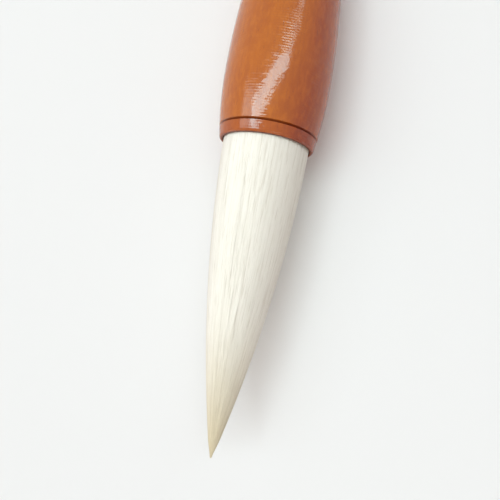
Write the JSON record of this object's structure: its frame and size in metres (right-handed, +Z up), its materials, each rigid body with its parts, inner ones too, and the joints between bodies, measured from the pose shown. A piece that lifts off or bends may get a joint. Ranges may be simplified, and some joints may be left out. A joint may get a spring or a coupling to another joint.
{
  "type": "calligraphy brush",
  "caption": "Large round calligraphy brush: a lacquered turned-wood handle with a swelling belly, a thin groove at the rim and a slim stem, and a long pointed tuft of pale goat hair.",
  "frame": {"origin": "on the surface that the brush lies on, under the middle of its bounding box", "axes": "+X along the brush towards the point of the tuft, +Z up; the brush's own axis lies in the XZ plane and rises 2.24 degrees towards the point, because the brush rests on its belly and its tail"},
  "size_m": [0.2958, 0.03, 0.0302],
  "materials": {
    "lacquered_wood": "gloss",
    "socket_glue": "gloss",
    "root_resin": "gloss",
    "binding_thread": "matte",
    "core_hair": "satin",
    "lining_hair": "satin",
    "cover_hair": "satin"
  },
  "bodies": {
    "root": {"handle": "lacquered_wood", "socket_glue": "socket_glue", "root_resin": "root_resin", "root_thread": "binding_thread", "core_hair": "core_hair", "lining_hair": "lining_hair", "cover_hair": "cover_hair"}
  },
  "joints": []
}
